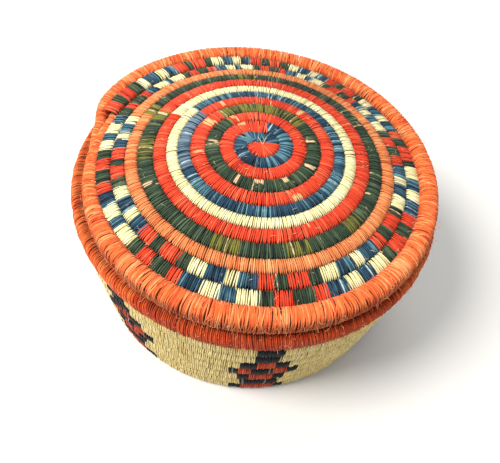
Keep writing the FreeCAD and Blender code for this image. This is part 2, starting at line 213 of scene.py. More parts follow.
def colour(red, green, blue):
    """A colour as seen on screen, 0 to 255, as the linear one that a shader takes."""
    linear = [((c / 255 + 0.055) / 1.055) ** 2.4 if c > 10 else c / 255 / 12.92 for c in (red, green, blue)]
    return (*linear, 1.0)


def grass_material():
    material = bpy.data.materials.new("dry grass in painted shade")
    material.use_nodes = True
    tree = material.node_tree
    shader = tree.nodes["Principled BSDF"]
    place = add_node(tree, "ShaderNodeTexCoord")
    blades = add_node(tree, "ShaderNodeTexNoise", Vector=result(place, "Object"), Scale=900.0, Detail=3.0)
    # The stems' tones run darker than dry grass: partly their own brown, partly painted shade, as they show only deep
    # in the gaps between stitches.
    mix = add_node(tree, "ShaderNodeMix", {"data_type": "RGBA"}, Factor=result(blades, "Fac"),
                   A=colour(92, 72, 42), B=colour(170, 146, 98))
    bump = add_node(tree, "ShaderNodeBump", Height=result(blades, "Fac"), Strength=0.4, Distance=0.0003)
    tree.links.new(result(mix), shader.inputs["Base Color"])
    tree.links.new(result(bump), shader.inputs["Normal"])
    shader.inputs["Roughness"].default_value = 0.6
    return material


def basket_grass_measures(turn):
    return {"outward": (0, 0, 1)}


def lay_grass(name, path, body, node, **values):
    """Makes one bundle of grass along its path and hands it to the frame."""
    settings = {key.replace("_", " ").title(): value for key, value in values.items()}
    piece = made_mesh(name, path, bundle_nodes, {"Material": grass, **settings})
    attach(piece, body)
    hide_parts(node)


grass = grass_material()
bundle_nodes = grass_tree()
basket_grass_path = path_mesh("basket grass path", basket_point, [(-BASE_TURNS, WALL_ROWS + 1)],
                              basket_grass_measures)
lay_grass("basket_grass", basket_grass_path, "basket", "basket_foundation", bundle_radius=BASKET_GRASS_RADIUS,
          stems=9)


# The wool of the base. Hand-spun yarn is wound round the grass, and each stitch catches the turn
# before it. The base is pressed flat underneath by its own weight.
YARN_RADIUS = 0.0005
STITCH_PITCH = 0.00103
SEAM_REACH = 0.00045
YARN_PLUMPNESS = 1.12
SLANT_WAVES = 50.0
SIDE_TO_HEIGHT = 0.4
BASE_SEGMENTS = 10
BASE_YARN_HEIGHT = 0.0014
WALL_START = -1.0


def stitch_tree():
    """Winds closed loops of yarn round a path, each one a little different from the next."""
    tree = new_tree("wool stitches", {
        "Stitch Pitch": ("NodeSocketFloat", 0.001),
        "Yarn Radius": ("NodeSocketFloat", 0.0005),
        "Loop Points": ("NodeSocketInt", 14),
        "Yarn Sides": ("NodeSocketInt", 5),
        "Squareness": ("NodeSocketFloat", 0.45),
        "Slant": ("NodeSocketFloat", 0.0),
        "Slant Spread": ("NodeSocketFloat", 0.035),
        "Slant Drift": ("NodeSocketFloat", 0.2),
        "Size Spread": ("NodeSocketFloat", 0.06),
        "Side Spread": ("NodeSocketFloat", 0.0008),
        "Yarn Spread": ("NodeSocketFloat", 0.14),
        "End Thickness": ("NodeSocketFloat", 0.42),
        "Seed": ("NodeSocketInt", 1),
        "Material": ("NodeSocketMaterial", None),
    })
    entry = tree.nodes.new("NodeGroupInput")
    seed = result(entry, "Seed")

    def spread(name, number, middle=0.0):
        half = result(entry, name)
        node = add_node(tree, "FunctionNodeRandomValue", {"data_type": "FLOAT"},
                        Min=math_node(tree, "SUBTRACT", middle, half), Max=math_node(tree, "ADD", middle, half),
                        Seed=math_node(tree, "ADD", seed, float(number)))
        return result(node)

    def named(name, kind="FLOAT"):
        return result(add_node(tree, "GeometryNodeInputNamedAttribute", {"data_type": kind}, Name=name), "Attribute")

    curve = add_node(tree, "GeometryNodeMeshToCurve", Mesh=result(entry, "Geometry"))
    stops = add_node(tree, "GeometryNodeCurveToPoints", {"mode": "LENGTH"},
                     Curve=result(curve), Length=result(entry, "Stitch Pitch"))
    facing = add_node(tree, "FunctionNodeAxesToRotation", {"primary_axis": "Z", "secondary_axis": "Y"},
                      Primary_Axis=result(stops, "Tangent"), Secondary_Axis=named("outward", "FLOAT_VECTOR"))
    waves = result(add_node(tree, "ShaderNodeTexNoise", Vector=result(add_node(tree, "GeometryNodeInputPosition")),
                            Scale=SLANT_WAVES, Detail=1.0))
    drift = math_node(tree, "MULTIPLY", math_node(tree, "SUBTRACT", waves, 0.5),
                      math_node(tree, "MULTIPLY", result(entry, "Slant Drift"), 2.0))
    slant = math_node(tree, "ADD", math_node(tree, "ADD", result(entry, "Slant"), drift), spread("Slant Spread", 1))
    lean = add_node(tree, "ShaderNodeCombineXYZ", X=spread("Slant Spread", 11), Y=slant)
    turned = add_node(tree, "FunctionNodeRotateRotation", {"rotation_space": "LOCAL"}, Rotation=result(facing),
                      Rotate_By=result(add_node(tree, "FunctionNodeEulerToRotation", Euler=result(lean))))

    ring = add_node(tree, "GeometryNodeCurvePrimitiveCircle", Resolution=result(entry, "Loop Points"), Radius=1.0)
    started = add_node(tree, "GeometryNodeTransform", Geometry=result(ring), Rotation=(0, 0, -math.pi / 2))
    around = add_node(tree, "GeometryNodeSplineParameter")
    marked = add_node(tree, "GeometryNodeStoreNamedAttribute", {"data_type": "FLOAT", "domain": "POINT"},
                      Geometry=result(started), Name="along", Value=result(around, "Factor"))
    parts = add_node(tree, "ShaderNodeSeparateXYZ", Vector=result(add_node(tree, "GeometryNodeInputPosition")))
    squared = []
    for axis in ("X", "Y"):
        value = result(parts, axis)
        size = math_node(tree, "POWER", math_node(tree, "ABSOLUTE", value), result(entry, "Squareness"))
        squared.append(math_node(tree, "MULTIPLY", size, math_node(tree, "SIGN", value)))
    square = add_node(tree, "ShaderNodeCombineXYZ", X=squared[0], Y=squared[1])
    loop = add_node(tree, "GeometryNodeSetPosition", Geometry=result(marked), Position=result(square))

    size = add_node(tree, "ShaderNodeCombineXYZ",
                    X=math_node(tree, "MULTIPLY", named("half_width"), spread("Size Spread", 2, 1.0)),
                    Y=math_node(tree, "MULTIPLY", named("half_height"), spread("Size Spread", 3, 1.0)), Z=1.0)
    loops = add_node(tree, "GeometryNodeInstanceOnPoints", Points=result(stops, "Points"), Instance=result(loop),
                     Rotation=result(turned), Scale=result(size))
    shift = add_node(tree, "ShaderNodeCombineXYZ", X=spread("Side Spread", 4), Y=math_node(
        tree, "MULTIPLY", spread("Side Spread", 5), SIDE_TO_HEIGHT))
    shifted = add_node(tree, "GeometryNodeTranslateInstances", Instances=result(loops),
                       Translation=result(shift), Local_Space=True)
    tone = add_node(tree, "FunctionNodeRandomValue", {"data_type": "FLOAT"}, Seed=math_node(tree, "ADD", seed, 6.0))
    toned = add_node(tree, "GeometryNodeStoreNamedAttribute", {"data_type": "FLOAT", "domain": "INSTANCE"},
                     Geometry=result(shifted), Name="tone", Value=result(tone))
    thick = add_node(tree, "GeometryNodeStoreNamedAttribute", {"data_type": "FLOAT", "domain": "INSTANCE"},
                     Geometry=result(toned), Name="thickness", Value=spread("Yarn Spread", 7, 1.0))
    along_coil = add_node(tree, "GeometryNodeStoreNamedAttribute", {"data_type": "FLOAT_VECTOR", "domain": "INSTANCE"},
                          Geometry=result(thick), Name="coil_tangent", Value=result(stops, "Tangent"))
    real = add_node(tree, "GeometryNodeRealizeInstances", Geometry=result(along_coil))
    here = result(add_node(tree, "GeometryNodeInputPosition"))
    placed = add_node(tree, "GeometryNodeStoreNamedAttribute", {"data_type": "FLOAT_VECTOR", "domain": "POINT"},
                      Geometry=result(real), Name="yarn_middle", Value=here)
    steady = add_node(tree, "GeometryNodeSetCurveNormal", {"mode": "FREE"}, Curve=result(placed),
                      Normal=named("coil_tangent", "FLOAT_VECTOR"))
    profile = add_node(tree, "GeometryNodeCurvePrimitiveCircle", Resolution=result(entry, "Yarn Sides"),
                       Radius=result(entry, "Yarn Radius"))
    swing = math_node(tree, "ABSOLUTE", math_node(tree, "SINE", math_node(tree, "MULTIPLY", named("along"), math.tau)))
    sideways = math_node(tree, "POWER", swing, math_node(tree, "MULTIPLY", result(entry, "Squareness"), 3.0))
    thinning = math_node(tree, "SUBTRACT", result(entry, "End Thickness"), YARN_PLUMPNESS)
    plump = math_node(tree, "MULTIPLY_ADD", sideways, thinning, YARN_PLUMPNESS)
    yarn = add_node(tree, "GeometryNodeCurveToMesh", Curve=result(steady), Profile_Curve=result(profile),
                    Scale=math_node(tree, "MULTIPLY", named("thickness"), plump))

    def vector_node(operation, first, second=None):
        node = tree.nodes.new("ShaderNodeVectorMath")
        node.operation = operation
        tree.links.new(first, node.inputs[0])
        if second is not None:
            tree.links.new(second, node.inputs[1])
        return node.outputs["Value" if operation == "DOT_PRODUCT" else "Vector"]

    # flank: how far the yarn's surface faces along the coil, towards the neighbouring stitches. The wool's shader
    # paints shade there.
    away = vector_node("NORMALIZE", vector_node("SUBTRACT", here, named("yarn_middle", "FLOAT_VECTOR")))
    flank = math_node(tree, "ABSOLUTE", vector_node("DOT_PRODUCT", away, named("coil_tangent", "FLOAT_VECTOR")))
    sided = add_node(tree, "GeometryNodeStoreNamedAttribute", {"data_type": "FLOAT", "domain": "POINT"},
                     Geometry=result(yarn), Name="flank", Value=flank)
    tidied = sided
    for name in ("yarn_middle", "coil_tangent"):
        tidied = add_node(tree, "GeometryNodeRemoveAttribute", Geometry=result(tidied), Name=name)
    smooth = add_node(tree, "GeometryNodeSetShadeSmooth", Geometry=result(tidied), Shade_Smooth=True)
    whole = add_node(tree, "GeometryNodeRealizeInstances", Geometry=result(smooth))
    painted = add_node(tree, "GeometryNodeSetMaterial", Geometry=result(whole), Material=result(entry, "Material"))
    leave = tree.nodes.new("NodeGroupOutput")
    tree.links.new(result(painted), leave.inputs["Geometry"])
    return tree


def wool_group():
    """The look of hand-spun wool: fibres, twist, a tone that differs from stitch to stitch, and painted shade at each
    stitch's ends and sides.
    """
    group = bpy.data.node_groups.new("hand-spun wool", "ShaderNodeTree")
    for name in ("Wool", "Light Wool", "Dark Wool", "Patch And Shade Wool", "Fleck Wool"):
        group.interface.new_socket(name, in_out="INPUT", socket_type="NodeSocketColor")
    for name in ("Light Share", "Dark Share", "Random Flecks", "Drift"):
        group.interface.new_socket(name, in_out="INPUT", socket_type="NodeSocketFloat")
    group.interface.new_socket("Colour", in_out="OUTPUT", socket_type="NodeSocketColor")
    group.interface.new_socket("Normal", in_out="OUTPUT", socket_type="NodeSocketVector")
    entry = group.nodes.new("NodeGroupInput")
    leave = group.nodes.new("NodeGroupOutput")

    def attribute(name):
        node = add_node(group, "ShaderNodeAttribute", {"attribute_name": name})
        return result(node, "Fac")

    def blend(first, second, factor):
        return result(add_node(group, "ShaderNodeMix", {"data_type": "RGBA"}, A=first, B=second, Factor=factor))

    def ramp(value, low, high):
        return result(add_node(group, "ShaderNodeMapRange", Value=value, From_Min=low, From_Max=high))

    place = result(add_node(group, "ShaderNodeTexCoord"), "Object")
    tone = attribute("tone")
    along = attribute("along")
    drift = result(add_node(group, "ShaderNodeTexNoise", Vector=place, Scale=110.0, Detail=2.0), "Fac")
    mixed = math_node(group, "ADD", tone, math_node(group, "MULTIPLY", math_node(group, "SUBTRACT", drift, 0.5),
                                                   result(entry, "Drift")))
    light_from = math_node(group, "SUBTRACT", 1.0, result(entry, "Light Share"))
    lighter = ramp(mixed, light_from, math_node(group, "ADD", light_from, 0.45))
    darker = ramp(mixed, result(entry, "Dark Share"), math_node(group, "SUBTRACT", result(entry, "Dark Share"), 0.45))
    base = blend(result(entry, "Wool"), result(entry, "Light Wool"), lighter)
    base = blend(base, result(entry, "Dark Wool"), darker)
    strand = add_node(group, "ShaderNodeCombineXYZ", X=math_node(group, "MULTIPLY", along, 16.0),
                      Y=math_node(group, "MULTIPLY", attribute("flank"), 2.0),
                      Z=math_node(group, "MULTIPLY", tone, 53.0))
    fibre = result(add_node(group, "ShaderNodeTexNoise", Vector=result(strand), Scale=1.0, Detail=3.0), "Fac")
    # Patch colour: other wool wound in on the lid's rings, and painted shadow on the rim's front under the lid's edge.
    patch_and_shade_mask = ramp(math_node(group, "MULTIPLY_ADD", mixed, 0.5, attribute("patch")), 1.05, 1.25)
    base = blend(base, result(entry, "Patch And Shade Wool"), patch_and_shade_mask)
    odd = math_node(group, "GREATER_THAN", tone, math_node(group, "SUBTRACT", 1.0, result(entry, "Random Flecks")))
    away = math_node(group, "ABSOLUTE", math_node(group, "SUBTRACT", along, attribute("fleck")))
    marked = math_node(group, "GREATER_THAN", attribute("fleck"), 0.05)
    near = ramp(math_node(group, "MULTIPLY_ADD", tone, 0.03, away), 0.1, 0.075)
    lump = math_node(group, "MULTIPLY", marked, near)
    fleck = math_node(group, "MAXIMUM", lump, math_node(group, "MULTIPLY", odd, ramp(fibre, 0.4, 0.6)))
    base = blend(base, result(entry, "Fleck Wool"), fleck)
    fibre_shade = add_node(group, "ShaderNodeMapRange", Value=fibre, From_Min=0.3, From_Max=0.7,
                           To_Min=0.74, To_Max=1.18)
    # Painted shade: each stitch is darker towards its two ends, where it dips into the seam between turns.
    middle = math_node(group, "ABSOLUTE", math_node(group, "COSINE", math_node(group, "MULTIPLY", along, math.tau)))
    end_shade = add_node(group, "ShaderNodeMapRange", Value=middle, From_Min=0.0, From_Max=0.75,
                         To_Min=0.55, To_Max=1.0)
    # Painted shade: each stitch is darker on the sides that face its neighbours, and a little lighter along its crest.
    flank_shade = add_node(group, "ShaderNodeMapRange", Value=attribute("flank"), From_Min=0.1, From_Max=0.95,
                           To_Min=1.08, To_Max=0.5)
    shading = math_node(group, "MULTIPLY", result(end_shade), result(flank_shade))
    shade = add_node(group, "ShaderNodeHueSaturation", Color=base, Saturation=1.0,
                     Value=math_node(group, "MULTIPLY", result(fibre_shade), shading))
    group.links.new(result(shade), leave.inputs["Colour"])

    turns = math_node(group, "MULTIPLY_ADD", along, 22.0, math_node(group, "MULTIPLY", attribute("flank"), 0.3))
    ply = math_node(group, "COSINE", math_node(group, "MULTIPLY", turns, 2 * math.tau))
    height = math_node(group, "MULTIPLY_ADD", ply, 0.35, fibre)
    bump = add_node(group, "ShaderNodeBump", Height=height, Strength=0.5, Distance=0.0002)
    group.links.new(result(bump), leave.inputs["Normal"])
    return group


# The patch colour marks other wool wound in on the lid's rings, and painted shadow on the rim's front.
def wool(name, main, light, dark, patch=None, fleck=None, light_share=0.3, dark_share=0.3,
         random_flecks=0.0, drift=0.8):
    material = bpy.data.materials.new(name)
    material.use_nodes = True
    tree = material.node_tree
    shader = tree.nodes["Principled BSDF"]
    look = tree.nodes.new("ShaderNodeGroup")
    look.node_tree = wool_look
    look.inputs["Wool"].default_value = main
    look.inputs["Light Wool"].default_value = light
    look.inputs["Dark Wool"].default_value = dark
    look.inputs["Patch And Shade Wool"].default_value = patch or main
    look.inputs["Fleck Wool"].default_value = fleck or light
    look.inputs["Light Share"].default_value = light_share
    look.inputs["Dark Share"].default_value = dark_share
    look.inputs["Random Flecks"].default_value = random_flecks
    look.inputs["Drift"].default_value = drift
    tree.links.new(look.outputs["Colour"], shader.inputs["Base Color"])
    tree.links.new(look.outputs["Normal"], shader.inputs["Normal"])
    shader.inputs["Roughness"].default_value = 0.85
    shader.inputs["Specular IOR Level"].default_value = 0.12
    shader.inputs["Sheen Weight"].default_value = 0.06
    shader.inputs["Sheen Roughness"].default_value = 0.5
    return material


def wind(name, path, material, body, node, slot, **values):
    """Winds one colour of wool along its path and hands it to the frame."""
    settings = {"Stitch Pitch": STITCH_PITCH, "Yarn Radius": YARN_RADIUS, "Material": material}
    settings.update({key.replace("_", " ").title(): value for key, value in values.items()})
    piece = made_mesh(name, path, stitches, settings)
    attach(piece, body)
    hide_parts(node)
    return piece


def base_measures(turn):
    return {"half_width": ROW_RISE / 2 + SEAM_REACH, "half_height": base_height - BASE_YARN_HEIGHT,
            "outward": (0, 0, 1)}


wool_look = wool_group()
stitches = stitch_tree()
undyed = wool("undyed wool", colour(232, 208, 138), colour(246, 230, 172), colour(204, 176, 102), dark_share=0.2)
base_path = path_mesh("base path", basket_point, [(-BASE_TURNS, WALL_START)], base_measures)
wind("base_wool", base_path, undyed, "basket", "base_wrap", "wall_cream", seed=3, loop_points=BASE_SEGMENTS,
     yarn_sides=4, stitch_pitch=0.0013, yarn_radius=0.00068, side_spread=0.0003, size_spread=0.02)


# The wall: the base's last turn and six more in cream, with a stepped motif in near-black and
# orange-red wool that is wound into the rows as they are made. Seven motifs go round.
WALL_SQUARENESS = 0.6
WALL_PITCH = 0.00104
WALL_YARN_RADIUS = 0.00061
FOOT_LIFT = 0.0012
MOTIF_ROWS = [
    [("red", 5.5), ("black", 9.7)],
    [("black", 6.1)],
    [("red", 3.6), ("black", 8.0)],
    [("black", 3.6), ("red", 7.4), ("black", 11.0)],
    [("red", 2.8), ("black", 7.8)],
    [("black", 3.9)],
    [("black", 3.9)],
]
MOTIF_AZIMUTHS = [10.6 + 52.0 * number for number in range(7)]


def row_reach(turn):
    """How low and how high a row's wool reaches. The lowest row is pressed flat on the floor."""
    middle = basket_point(turn).z
    return max(middle - ROW_RISE / 2 - SEAM_REACH, FOOT_LIFT), middle + ROW_RISE / 2 + SEAM_REACH


def wall_point(turn):
    low, high = row_reach(turn)
    return Vector((*basket_point(turn).xy, (low + high) / 2))


def wall_measures(turn):
    low, high = row_reach(turn)
    return {"half_width": (high - low) / 2, "half_height": COIL_RADIUS - YARN_RADIUS,
            "outward": on_circle(1.0, basket_azimuth(turn), 0.0)}


def motif_stretches():
    found = {"black": [], "red": []}
    for row, colours in enumerate(MOTIF_ROWS):
        for azimuth in MOTIF_AZIMUTHS:
            inner = 0.0
            for name, outer in colours:
                sides = [(outer, -outer)] if inner == 0.0 else [(outer, inner), (-inner, -outer)]
                for first, last in sides:
                    behind = (WALL_STEP_AZIMUTH - azimuth - first) % 360 / 360
                    start = WALL_START + row + behind
                    found[name].append((start, start + (first - last) / 360))
                inner = outer
    return found


motifs = motif_stretches()
taken = sorted(motifs["black"] + motifs["red"])
cream_starts = [WALL_START] + [last for first, last in taken]
cream_ends = [first for first, last in taken] + [float(WALL_ROWS)]
cream = [(first, last) for first, last in zip(cream_starts, cream_ends) if last - first > 0.001]
wall_wools = []
low_rows = [stretch for stretch in cream if stretch[0] < 1.2]
middle_rows = [stretch for stretch in cream if 1.2 <= stretch[0] < 3.6]
top_rows = [stretch for stretch in cream if stretch[0] >= 3.6]
black_wool = wool("black wool", colour(20, 18, 22), colour(36, 34, 44), colour(8, 8, 10),
                  fleck=colour(206, 202, 190), light_share=0.2, random_flecks=0.012)
rust_wool = wool("rust wool", colour(196, 70, 30), colour(228, 112, 56), colour(120, 34, 18))
for name, rows, seed in (("wall_wool_low", low_rows, 11), ("wall_wool_middle", middle_rows, 12),
                         ("wall_wool_top", top_rows, 13)):
    wall_path = path_mesh(name + " path", wall_point, rows, wall_measures)
    wall_wools.append(wind(name, wall_path, undyed, "basket", "wall_cream_wrap", "wall_cream", seed=seed,
                           squareness=WALL_SQUARENESS, loop_points=12, stitch_pitch=WALL_PITCH,
                           yarn_radius=WALL_YARN_RADIUS, side_spread=0.0004))
for name, material in (("black", black_wool), ("red", rust_wool)):
    motif_path = path_mesh("motif path", wall_point, motifs[name], wall_measures)
    wind("motif_wool_" + name, motif_path, material, "basket", "motif_%s_wraps" % name, "wool_" + name, seed=14,
         squareness=WALL_SQUARENESS, loop_points=12, stitch_pitch=WALL_PITCH, yarn_radius=WALL_YARN_RADIUS,
         side_spread=0.0004)


# The rim is the basket's last turn, in orange wool wound at a slant. Its front is painted a darker brick red,
# as painted shadow under the lid's edge. The coil thins out over its own climb at the back, so that the rim ends
# level.
RIM_SLANT = 0.14
RIM_END_SHARE = 0.75
RIM_SHADOW_AZIMUTH = 12.0
RIM_SHADOW_FROM = 0.66


def rim_point(turn):
    thinned = eased((turn - WALL_ROWS - 1) / CLIMB_TURNS)
    return basket_point(turn) + Vector((0, 0, COIL_RADIUS * thinned))


def rim_measures(turn):
    full = 1 - eased((turn - WALL_ROWS - 1) / CLIMB_TURNS)
    measures = wall_measures(turn)
    measures["half_width"] = max(ROW_RISE / 2 * full + SEAM_REACH, YARN_RADIUS)
    measures["half_height"] = max(COIL_RADIUS * full - YARN_RADIUS, YARN_RADIUS)
    # The rim's front is painted darker, as painted shadow under the lid's edge.
    front = math.cos(math.radians(basket_azimuth(turn) - RIM_SHADOW_AZIMUTH))
    measures["patch"] = 0.98 * eased((front - RIM_SHADOW_FROM) / (1 - RIM_SHADOW_FROM) * 2)
    return measures


# Its patch colour, a darker brick red, is painted shadow on the rim's front under the lid's edge.
orange_wool = wool("orange wool", colour(230, 102, 44), colour(244, 150, 82), colour(190, 54, 22), drift=1.2,
                   patch=colour(180, 62, 26), light_share=0.3, dark_share=0.35)
rim_end = WALL_ROWS + 1 + CLIMB_TURNS * RIM_END_SHARE
rim_path = path_mesh("rim path", rim_point, [(WALL_ROWS, rim_end)], rim_measures)
rim_wool = wind("rim_wool", rim_path, orange_wool, "basket", "rim_wrap", "wool_orange", seed=21, slant=RIM_SLANT,
     stitch_pitch=0.00094, yarn_radius=0.00056, squareness=0.8, side_spread=0.0003, end_thickness=0.8)


# The grass of the lid. A thinner bundle winds outwards from the middle in a low dome, and the
# last turn's bundle is thicker and stands up on the rim.
LID_SHIFT = Vector((-0.0011, -0.0012, 0))
DOME_TOP = rim_top + 0.025
DOME_DROP = 0.0193
DOME_RADIUS = 0.105
SEAT_HEIGHT = rim_top + 0.00034
KNOT_RADIUS = 0.0062
TURN_WIDTHS = [0.0074, 0.0076, 0.0074, 0.0084, 0.0068, 0.0056, 0.0068, 0.0087, 0.0065, 0.0076, 0.0080,
               0.0098, 0.0090]
LID_STEP_AZIMUTH = 250.0
LID_START = -0.40
EDGE_START = 11.02
EDGE_END = 12.04
EDGE_HALF_HEIGHT = 0.0066
RING_HALF_HEIGHT = 0.0033
EDGE_RISE_TURNS = 0.35
EDGE_EASE = 0.0006
LID_GRASS_RADIUS = 0.0019


def seam_radius(turn):
    """Where one turn of the lid meets the next, counted from the knot outwards."""
    return KNOT_RADIUS + sum(width * min(max(turn - number, 0.0), 1.0) for number, width in enumerate(TURN_WIDTHS))


def lid_azimuth(turn):
    return LID_STEP_AZIMUTH + 360 * turn


def edge_share(turn):
    return eased((turn - EDGE_START) / EDGE_RISE_TURNS + 1)


def lid_half_height(turn):
    return RING_HALF_HEIGHT + (EDGE_HALF_HEIGHT - RING_HALF_HEIGHT) * edge_share(turn)


def lid_point(turn):
    radius = (seam_radius(turn) + seam_radius(turn + 1)) / 2
    dome = DOME_TOP - DOME_DROP * (radius / DOME_RADIUS) ** 2 - RING_HALF_HEIGHT
    seat = SEAT_HEIGHT + lid_half_height(turn)
    height = (dome + seat) / 2 + math.sqrt(((dome - seat) / 2) ** 2 + EDGE_EASE ** 2)
    return on_circle(radius, lid_azimuth(turn), height) + LID_SHIFT


def lid_measures(turn):
    radius = (seam_radius(turn) + seam_radius(turn + 1)) / 2
    slope = 2 * DOME_DROP * radius / DOME_RADIUS ** 2 * (1 - edge_share(turn))
    outward = on_circle(slope, lid_azimuth(turn), 1.0).normalized()
    width = seam_radius(turn + 1) - seam_radius(turn)
    return {"half_width": width / 2 + SEAM_REACH, "half_height": lid_half_height(turn) - YARN_RADIUS,
            "outward": outward}


lid_grass_path = path_mesh("lid grass path", lid_point, [(LID_START, EDGE_START)], basket_grass_measures)
lay_grass("lid_grass", lid_grass_path, "lid", "lid_foundation", bundle_radius=LID_GRASS_RADIUS, stems=5,
          sample_length=0.0025)


# The grass of the lid's edge, a thicker bundle in the last turn. The edge starts thin at the left,
# thins out again as it comes back there, and closes up to its own start.
EDGE_GRASS_RADIUS = 0.0030
EDGE_TAPER_START = 11.94
EDGE_LAST_TURN = 12.07
EDGE_FIRST_SHARE = 0.5
EDGE_LAST_SHARE = 0.08
EDGE_GROWTH_TURNS = 0.22
EDGE_SETTLE_TURNS = 0.04
EDGE_SETTLING = 0.9
EDGE_GRASS_START = 11.06
EDGE_GRASS_END = 11.94


def edge_left(turn):
    """The share of the edge's full width at a turn: it thins out towards both its ends."""
    grown = EDGE_FIRST_SHARE + (1 - EDGE_FIRST_SHARE) * eased((turn - EDGE_START) / EDGE_GROWTH_TURNS)
    gone = min(max((turn - EDGE_TAPER_START) / (EDGE_LAST_TURN - EDGE_TAPER_START), 0.0), 1.0)
    return grown - (1 - EDGE_LAST_SHARE) * gone ** 2


def edge_inner(turn):
    """The edge's inner side. Its very end closes up to its own thin start, which lies inside it."""
    start_side = seam_radius(turn - 1) + (seam_radius(turn) - seam_radius(turn - 1)) * edge_left(turn - 1)
    settled = eased((turn - EDGE_START - 1) / EDGE_SETTLE_TURNS + 0.5)
    return seam_radius(turn) + (start_side - seam_radius(turn)) * settled


def edge_point(turn):
    width = seam_radius(turn + 1) - seam_radius(turn)
    inwards = seam_radius(turn) - edge_inner(turn) + width * (1 - edge_left(turn)) / 2
    sunk = EDGE_HALF_HEIGHT * (1 - math.sqrt(edge_left(turn))) * EDGE_SETTLING
    return lid_point(turn) - on_circle(inwards, lid_azimuth(turn), sunk)


edge_grass_path = path_mesh("edge grass path", edge_point, [(EDGE_GRASS_START, EDGE_GRASS_END)],
                            basket_grass_measures)
lay_grass("edge_grass", edge_grass_path, "lid", "edge_foundation", bundle_radius=EDGE_GRASS_RADIUS, stems=8)


# The lid's plain rings, one colour to a turn. The wool is hand-dyed, so its tone drifts, and odd
# ends of other colours were spun or wound in.
navy_wool = wool("navy wool", colour(44, 78, 100), colour(104, 150, 160), colour(22, 34, 50),
                 patch=colour(116, 138, 154), fleck=colour(180, 200, 204), light_share=0.45, dark_share=0.35,
                 random_flecks=0.03)
red_wool = wool("red wool", colour(230, 72, 42), colour(246, 116, 76), colour(196, 42, 28),
                fleck=colour(240, 186, 126), light_share=0.35, dark_share=0.25)
green_wool = wool("green wool", colour(56, 74, 54), colour(100, 118, 88), colour(28, 40, 34),
                  patch=colour(128, 124, 52), fleck=colour(232, 196, 150), light_share=0.35, dark_share=0.35,
                  random_flecks=0.02)
cream_wool = wool("cream wool", colour(248, 238, 180), colour(254, 250, 214), colour(226, 210, 138))
tan_wool = wool("tan wool", colour(236, 138, 80), colour(248, 176, 118), colour(206, 92, 46))
LID_SQUARENESS = 0.54
NAVY_WEDGE_END = -0.21
NAVY_FAN_RADIUS = 0.0088
RED_START = 0.786
LID_RINGS = [
    ("navy_inner", navy_wool, 0.0, RED_START, [], []),
    ("red_inner", red_wool, RED_START, 1.944, [], [(222, 0.6, 1.6)]),
    ("green_inner", green_wool, 1.944, 2.944, [(136, 232)],
     [(5, 0.40, 2.6), (36, 0.42, 1.8), (71, 0.5, 1.0), (110, 0.45, 1.6), (274, 0.5, 0.9), (340, 0.5, 1.2)]),
    ("red_middle", red_wool, 2.944, 3.97, [], [(36, 0.58, 2.6), (149, 0.5, 1.6), (176, 0.42, 1.2), (219, 0.5, 1.2),
                                               (246, 0.5, 2.8), (287, 0.5, 1.0)]),
    ("navy_outer", navy_wool, 3.97, 4.97, [(240, 301)], []),
    ("cream", cream_wool, 4.97, 6.0, [], []),
    ("red_outer", red_wool, 6.0, 7.0, [], [(33, 0.4, 1.2)]),
    ("green_outer", green_wool, 7.0, 8.01, [(18, 30), (50, 59), (188, 198), (244, 258), (270, 286), (345, 358)],
     [(74, 0.4, 0.8), (251, 0.5, 1.0), (302, 0.55, 1.2)]),
    ("tan", tan_wool, 8.01, 9.02, [], []),
]


def start_reach(turn):
    """How far from the middle the coil's buried start shows, at the back, before its first turn."""
    wedge = eased((NAVY_WEDGE_END - turn) / 0.02)
    grown = eased(turn / -NAVY_WEDGE_END + 1)
    return NAVY_FAN_RADIUS + (seam_radius(turn + 1) - NAVY_FAN_RADIUS) * max(wedge, grown)


def ring_sides(turn):
    """A turn's inner and outer radius. The first red stitches reach in over the buried start."""
    inner = start_reach(turn - 1) if RED_START <= turn < 1 else seam_radius(turn)
    return inner, seam_radius(turn + 1)


def ring_point(turn):
    inner, outer = ring_sides(turn)
    return lid_point(turn) - on_circle((seam_radius(turn) - inner) / 2, lid_azimuth(turn), 0)


def ring_measures(patches, flecks):
    """The lid's measures, with other wool marked at the azimuths where the photo shows it. A fleck
    has its azimuth, its place along the strand and how many millimetres of the ring it takes."""
    def measures(turn):
        found = lid_measures(turn)
        inner, outer = ring_sides(turn)
        found["half_width"] = (outer - inner) / 2 + SEAM_REACH
        azimuth = lid_azimuth(turn) % 360
        found["patch"] = float(any((azimuth - low) % 360 < high - low for low, high in patches))
        radius = (seam_radius(turn) + seam_radius(turn + 1)) / 2
        found["fleck"] = sum(along for place, along, size in flecks
                             if abs((azimuth - place + 180) % 360 - 180) < math.degrees(size * 0.001 / radius))
        return found
    return measures


lid_wools = []
for number, (name, material, start, end, patches, flecks) in enumerate(LID_RINGS):
    ring_path = path_mesh(name + " path", ring_point, [(start, end)], ring_measures(patches, flecks))
    inner = seam_radius(start)
    pitch = STITCH_PITCH * (1 - 0.0022 / (inner + 0.004))
    lid_wools.append(wind("lid_wool_" + name, ring_path, material, "lid", "lid_ring_" + name,
                          "wool_" + name.split("_")[0], seed=31 + number, stitch_pitch=pitch,
                          squareness=LID_SQUARENESS, slant_spread=0.06, slant_drift=0.3, yarn_spread=0.2))


# The two checker rows: nine groups of eight blocks. Each block is a few stitches of one colour.
# The blocks grow wider and narrower once round the lid, and each ends a little off its place.
CHECKER_GROUPS = 9
BLOCK_DRIFT_TURNS = 11 / 360
BLOCK_DRIFT_AZIMUTH = 277.0
BLOCK_UNEVENNESS = 0.14
CHECKER_ROWS = [
    ("row_one", 9.02, ["cream", "navy", "cream", "navy", "red", "green", "red", "green"]),
    ("row_two", 10.02, ["navy", "cream", "navy", "cream", "green", "red", "green", "red"]),
]
CHECKER_WOOLS = {"cream": cream_wool, "navy": navy_wool, "red": red_wool, "green": green_wool}


